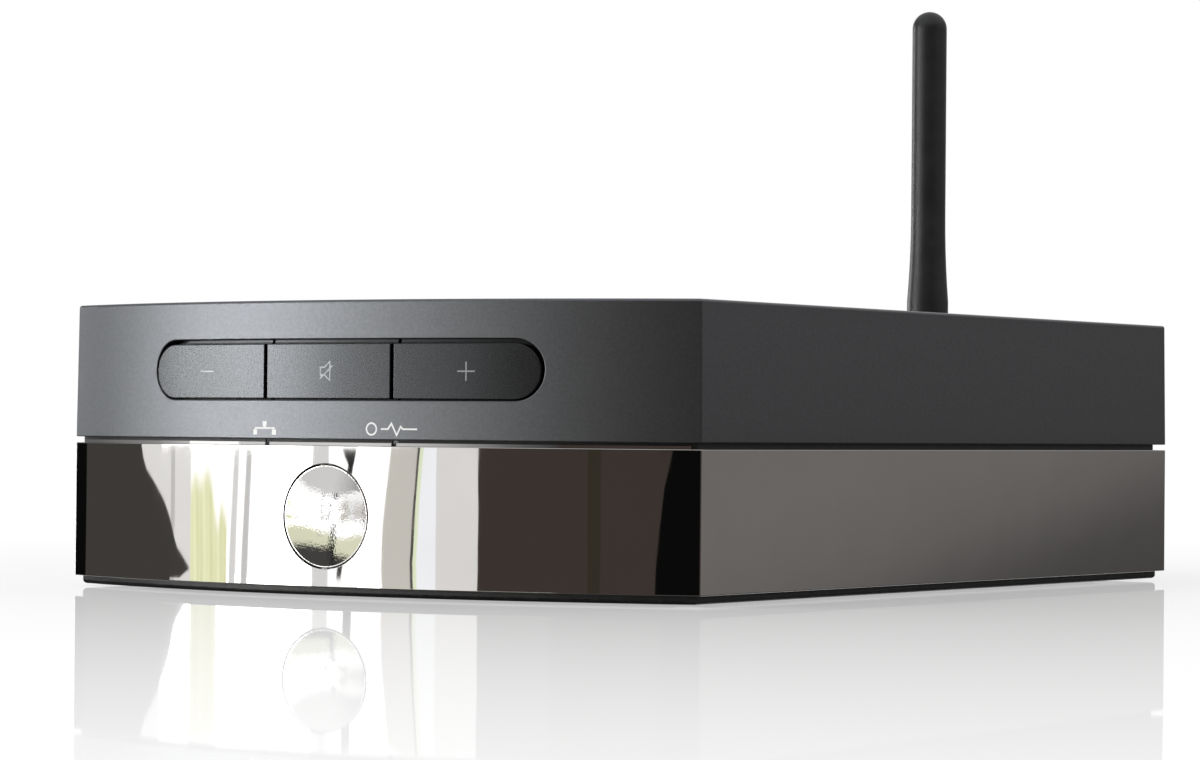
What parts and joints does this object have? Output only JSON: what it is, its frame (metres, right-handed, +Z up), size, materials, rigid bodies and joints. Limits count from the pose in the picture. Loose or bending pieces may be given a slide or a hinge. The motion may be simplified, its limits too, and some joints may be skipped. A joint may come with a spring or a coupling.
{
  "type": "network music streamer",
  "caption": "Compact network music streamer with a bowed two-part case, keys in a round-ended slot, a domed power button, a folding antenna and rear sockets.",
  "frame": {"origin": "on the table, under the middle of the whole object's box with the antenna upright", "axes": "+X right seen from the front, +Y from the front to the rear, +Z up"},
  "size_m": [0.155, 0.2542, 0.1381],
  "materials": {
    "grey_paint": "satin dark grey paint with a fine grain",
    "chrome_plate": "mirror-bright plating with a warm dark tone",
    "key_plastic": "smooth satin dark grey",
    "black_plastic": "moulded matt black",
    "black_paint": "fine-textured black powder coat",
    "foot_rubber": "soft black rubber",
    "antenna_rubber": "satin black elastomer",
    "black_metal": "blackened metal",
    "zinc": "zinc-plated steel",
    "plated_tin": "tin-plated sheet",
    "gold_plate": "gold-plated brass",
    "circuit_board": "green solder mask",
    "chip_plastic": "moulded black",
    "switch_plastic": "grey moulding",
    "diode_white": "clear white resin",
    "clear_plastic": "polished clear acrylic",
    "sink_metal": "dark anodised",
    "capacitor_sleeve": "dark printed sleeve",
    "cable_white": "white plastic",
    "cable_black": "black sheath",
    "jack_red": "red plastic",
    "jack_orange": "orange plastic"
  },
  "bodies": {
    "case": {"base_plate": "black_paint", "rubber_feet": "foot_rubber", "lower_shell": "chrome_plate", "middle_frame": "black_plastic", "upper_shell": "grey_paint", "rear_panel": "black_paint", "case_screws": "zinc", "panel_screws": "black_metal", "key_guide": "black_plastic", "key_switches": "switch_plastic", "key_board": "circuit_board", "key_screws": "zinc", "indicator_diodes": "diode_white", "light_guides": "clear_plastic", "power_guide": "black_plastic", "power_switch": "switch_plastic", "power_board": "circuit_board", "power_screws": "zinc", "main_board": "circuit_board", "board_screws": "zinc", "processor": "chip_plastic", "heat_sink": "sink_metal", "memory_chips": "chip_plastic", "wireless_module": "plated_tin", "audio_chips": "chip_plastic", "capacitors": "capacitor_sleeve", "inductors": "chip_plastic", "ribbon_sockets": "cable_white", "key_ribbon": "cable_white", "power_ribbon": "cable_white", "antenna_lead": "cable_black", "antenna_socket": "gold_plate", "antenna_nut": "gold_plate", "antenna_coupling": "black_metal", "network_socket": "plated_tin", "network_contacts": "gold_plate", "optical_socket": "black_plastic", "power_socket": "black_plastic", "power_socket_pin": "plated_tin", "jack_blocks": "black_plastic", "jack_collars": "gold_plate", "left_insulator": "cable_white", "right_insulator": "jack_red", "digital_insulator": "jack_orange"},
    "volume_down": {"volume_down_key": "key_plastic", "volume_down_plunger": "switch_plastic"},
    "mute": {"mute_key": "key_plastic", "mute_plunger": "switch_plastic"},
    "volume_up": {"volume_up_key": "key_plastic", "volume_up_plunger": "switch_plastic"},
    "power": {"power_button": "chrome_plate", "power_plunger": "switch_plastic"},
    "antenna_turn": {"antenna_knuckle": "antenna_rubber", "antenna_pin": "zinc"},
    "antenna_fold": {"antenna_mast": "antenna_rubber", "antenna_element": "gold_plate"},
    "shutter": {"optical_shutter": "black_plastic"}
  },
  "joints": [
    {"name": "volume_down_press", "type": "slide", "parent": "case", "child": "volume_down", "axis": [0, 1, 0], "range_m": [0, 0.0008], "stiffness_N_per_m": 900},
    {"name": "mute_press", "type": "slide", "parent": "case", "child": "mute", "axis": [0, 1, 0], "range_m": [0, 0.0008], "stiffness_N_per_m": 900},
    {"name": "volume_up_press", "type": "slide", "parent": "case", "child": "volume_up", "axis": [0, 1, 0], "range_m": [0, 0.0008], "stiffness_N_per_m": 900},
    {"name": "power_press", "type": "slide", "parent": "case", "child": "power", "axis": [0, 1, 0], "range_m": [0, 0.001], "stiffness_N_per_m": 1200},
    {"name": "antenna_swivel", "type": "hinge", "parent": "case", "child": "antenna_turn", "pos_m": [0, 0.12193, 0.0452], "axis": [0, 1, 0], "range_deg": [-90, 90]},
    {"name": "antenna_tilt", "type": "hinge", "parent": "antenna_turn", "child": "antenna_fold", "pos_m": [0, 0.12193, 0.0452], "axis": [-1, 0, 0], "range_deg": [0, 90]},
    {"name": "shutter_swing", "type": "hinge", "parent": "case", "child": "shutter", "pos_m": [0.0129, 0.09262, 0.017], "axis": [-1, 0, 0], "range_deg": [0, 80], "stiffness_Nm_per_rad": 0.0006}
  ]
}
